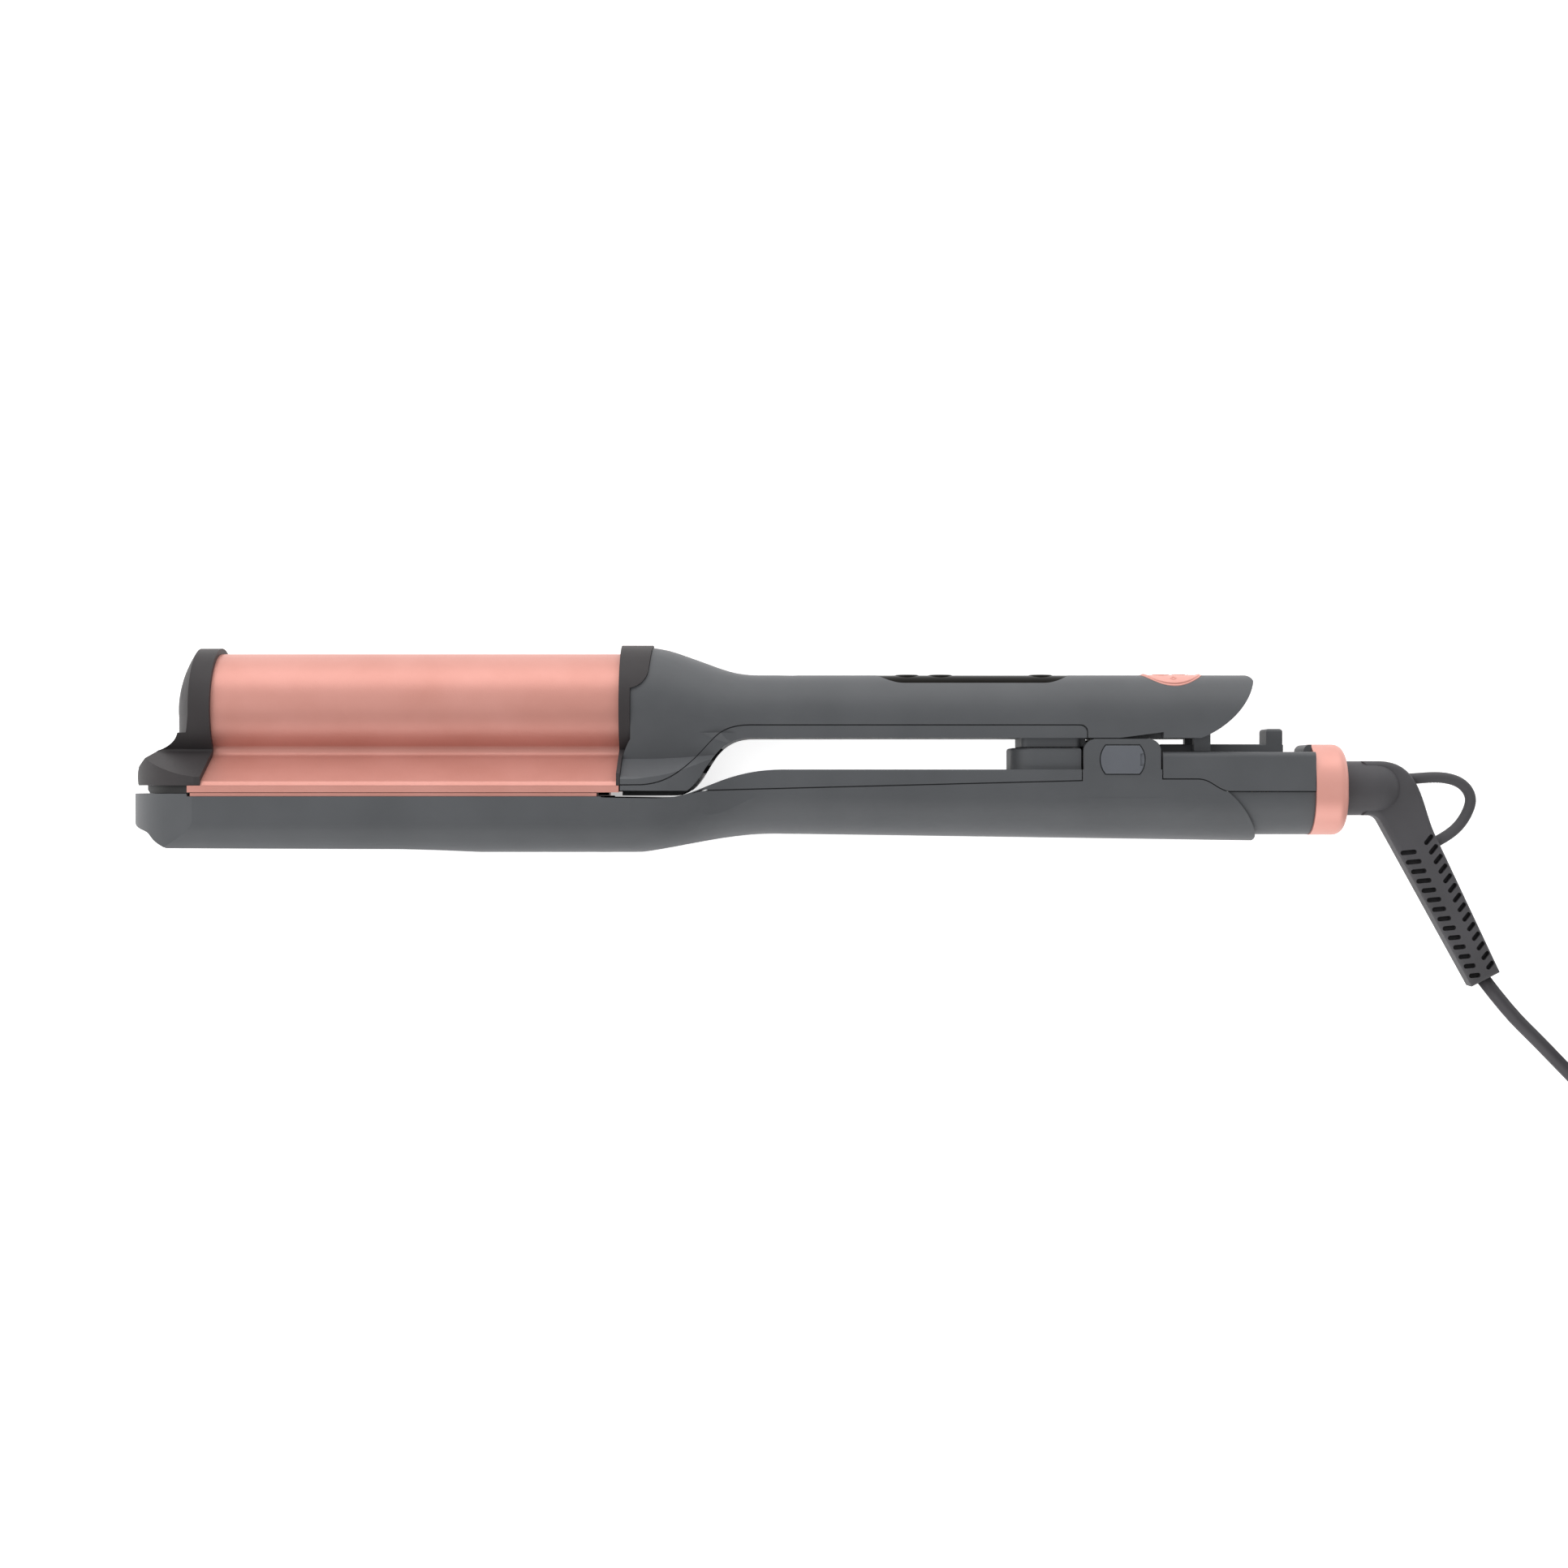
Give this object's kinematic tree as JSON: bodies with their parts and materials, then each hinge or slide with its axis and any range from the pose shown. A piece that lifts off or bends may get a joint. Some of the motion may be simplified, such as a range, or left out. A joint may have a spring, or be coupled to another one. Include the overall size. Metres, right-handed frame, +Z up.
{
  "type": "curling iron",
  "caption": "Deep-wave curling iron: two clamping arms with wave plates, sliding lock, buttons and a swivel cord with hang loop and mains plug.",
  "frame": {"origin": "bottom centre of the iron's own box as it lies on its side, without the cord", "axes": "+X from the jaws' tip to the cord, +Y from the lower arm to the upper arm, +Z up"},
  "size_m": [0.4894, 0.1553, 0.057],
  "materials": {
    "soft_touch_grey": "soft-touch moulded",
    "charcoal_plastic": "moulded high-temperature plastic",
    "rose_coating": "metallic ceramic coating on aluminium",
    "rose_satin": "anodised, satin",
    "cap_plastic": "moulded",
    "insulator": "glass-filled",
    "window_gloss": "polished",
    "button_plastic": "moulded",
    "heater_ceramic": "sintered",
    "spring_steel": "bright",
    "brass_contact": "bright",
    "board_laminate": "laminate",
    "sensor_glass": "potted",
    "boot_rubber": "moulded PVC",
    "cord_rubber": "extruded PVC",
    "strap_fabric": "hook and loop"
  },
  "bodies": {
    "lower_arm": {"lower_shell": "soft_touch_grey", "lower_handle_cover": "soft_touch_grey", "rear_housing": "soft_touch_grey", "end_ring": "rose_satin", "lower_wave_plate": "rose_coating", "lower_plate_carrier": "insulator", "lower_heater": "heater_ceramic", "thermal_fuse": "sensor_glass", "power_board": "board_laminate", "hinge_pin": "spring_steel", "hinge_caps": "cap_plastic", "opening_spring": "spring_steel", "lock_detent_spring": "spring_steel", "swivel_socket": "insulator", "contact_brushes": "brass_contact"},
    "upper_arm": {"barrel": "rose_coating", "upper_wave_plate": "rose_coating", "upper_heater": "heater_ceramic", "upper_heater_clamp": "spring_steel", "temperature_sensor": "sensor_glass", "front_cap": "charcoal_plastic", "tip_insulator": "insulator", "rear_collar": "charcoal_plastic", "upper_handle_shell": "soft_touch_grey", "upper_handle_cover": "soft_touch_grey", "control_window": "window_gloss", "display": "window_gloss", "control_board": "board_laminate", "tact_switches": "insulator", "badge": "rose_satin"},
    "lock": {"lock_slider": "soft_touch_grey"},
    "plus_key": {"plus_button": "button_plastic"},
    "minus_key": {"minus_button": "button_plastic"},
    "power_key": {"power_button": "button_plastic"},
    "swivel": {"swivel_head": "insulator", "slip_rings": "brass_contact", "strain_relief": "boot_rubber", "hang_loop": "boot_rubber", "cord_tube": "cord_rubber", "cord_tail": "cord_rubber", "cord_coil": "cord_rubber", "coil_tie": "strap_fabric", "plug_body": "cord_rubber", "plug_blades": "brass_contact"}
  },
  "joints": [
    {"name": "jaw_hinge", "type": "hinge", "parent": "lower_arm", "child": "upper_arm", "pos_m": [0.1067, -0.0035, 0.0285], "axis": [0, 0, -1], "range_deg": [0, 7], "deforming": ["opening_spring"]},
    {"name": "lock_slide", "type": "slide", "parent": "lower_arm", "child": "lock", "axis": [1, 0, 0], "range_m": [0, 0.0045]},
    {"name": "plus_press", "type": "slide", "parent": "upper_arm", "child": "plus_key", "axis": [0, -1, 0], "range_m": [0, 0.0006], "stiffness_N_per_m": 500},
    {"name": "minus_press", "type": "slide", "parent": "upper_arm", "child": "minus_key", "axis": [0, -1, 0], "range_m": [0, 0.0006], "stiffness_N_per_m": 500},
    {"name": "power_press", "type": "slide", "parent": "upper_arm", "child": "power_key", "axis": [0, -1, 0], "range_m": [0, 0.0006], "stiffness_N_per_m": 500},
    {"name": "cord_swivel", "type": "hinge", "parent": "lower_arm", "child": "swivel", "pos_m": [0.1704, -0.0115, 0.0285], "axis": [1, 0, 0], "continuous": true}
  ]
}
